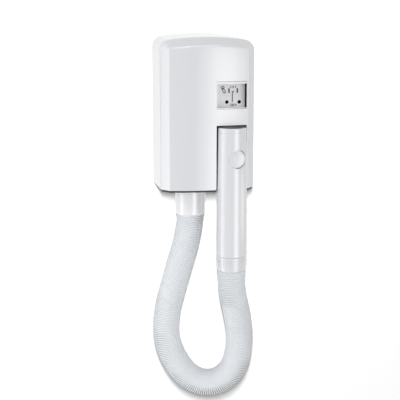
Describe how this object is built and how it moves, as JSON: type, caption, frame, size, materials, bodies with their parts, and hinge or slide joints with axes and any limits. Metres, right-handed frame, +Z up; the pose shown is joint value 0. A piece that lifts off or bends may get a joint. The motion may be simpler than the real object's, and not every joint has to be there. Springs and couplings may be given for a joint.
{
  "type": "wall-mounted hair dryer",
  "caption": "White wall-mounted hair dryer with an arched convex cover, a ribbed hose to a handset parked in a bay, a push button and a recessed shaver socket.",
  "frame": {"origin": "middle of the four wall-screw holes, on the wall plate's back face", "axes": "+X to the right of someone facing the unit, +Y into the wall, +Z up"},
  "size_m": [0.1538, 0.1187, 0.5659],
  "materials": {
    "cover_white": "gloss",
    "plate_grey": "satin",
    "grille_black": "satin",
    "grommet_black": "matte",
    "screw_steel": "zinc plated",
    "cradle_grey": "satin",
    "bezel_white": "gloss",
    "socket_grey": "satin",
    "moulding_black": "satin",
    "contact_brass": "bright",
    "core_steel": "varnished",
    "winding_copper": "enamelled",
    "feet_steel": "zinc plated",
    "board_green": "solder mask",
    "relay_blue": "gloss",
    "capacitor_silver": "sleeved",
    "duct_grey": "satin",
    "fan_black": "satin",
    "ferrite": "matte",
    "motor_steel": "zinc plated",
    "cap_white": "satin",
    "mica": "satin",
    "heater_wire": "oxidised",
    "cutout_metal": "bright",
    "cuff_white": "gloss",
    "hose_grey": "satin",
    "handset_white": "gloss",
    "button_white": "satin",
    "grille_brown": "satin",
    "bracket_grey": "satin",
    "spring_steel": "bright"
  },
  "bodies": {
    "wall_unit": {"blower_shroud": "duct_grey", "board_capacitor": "capacitor_silver", "board_relay": "relay_blue", "cable_grommet": "grommet_black", "control_board": "board_green", "cover_screws": "screw_steel", "front_cover": "cover_white", "handset_cradle": "cradle_grey", "heater_coil": "heater_wire", "heater_cross": "mica", "heater_tube": "mica", "hose": "hose_grey", "hose_cuff": "cuff_white", "intake_grille": "grille_black", "intake_guard": "duct_grey", "motor_bushes": "contact_brass", "motor_can": "motor_steel", "motor_end_cap": "cap_white", "motor_magnets": "ferrite", "outlet_funnel": "duct_grey", "reed_switch": "moulding_black", "socket_bezel": "bezel_white", "socket_body": "moulding_black", "socket_contacts": "contact_brass", "socket_plate": "socket_grey", "stator_vanes": "duct_grey", "terminal_block": "moulding_black", "terminal_screws": "screw_steel", "thermal_cutout": "cutout_metal", "transformer_coil": "winding_copper", "transformer_core": "core_steel", "transformer_feet": "feet_steel", "wall_plate": "plate_grey"},
    "fan": {"fan_wheel": "fan_black", "motor_shaft": "screw_steel", "motor_armature": "core_steel"},
    "handset": {"handset_tube": "handset_white", "handset_magnet": "ferrite", "nozzle_ring": "handset_white", "nozzle_grille": "grille_brown", "switch_bracket": "bracket_grey", "button_switch": "moulding_black", "button_spring": "spring_steel"},
    "button": {"push_button": "button_white"},
    "hose_swivel": {"handset_collar": "handset_white"}
  },
  "joints": [
    {"name": "fan_spin", "type": "hinge", "parent": "wall_unit", "child": "fan", "pos_m": [-0.021, -0.046, 0.058], "axis": [0, 0, 1], "continuous": true},
    {"name": "handset_pull", "type": "slide", "parent": "wall_unit", "child": "handset", "axis": [0, -1, 0], "range_m": [0, 0.05], "deforming": ["hose"]},
    {"name": "button_press", "type": "slide", "parent": "handset", "child": "button", "axis": [-0.2334, 0.9724, 0], "range_m": [0, 0.002], "stiffness_N_per_m": 800, "springref_m": -0.001, "deforming": ["button_spring"]},
    {"name": "hose_swivel_turn", "type": "hinge", "parent": "handset", "child": "hose_swivel", "pos_m": [0.033, -0.0955, -0.2167], "axis": [0, 0, 1], "continuous": true}
  ]
}
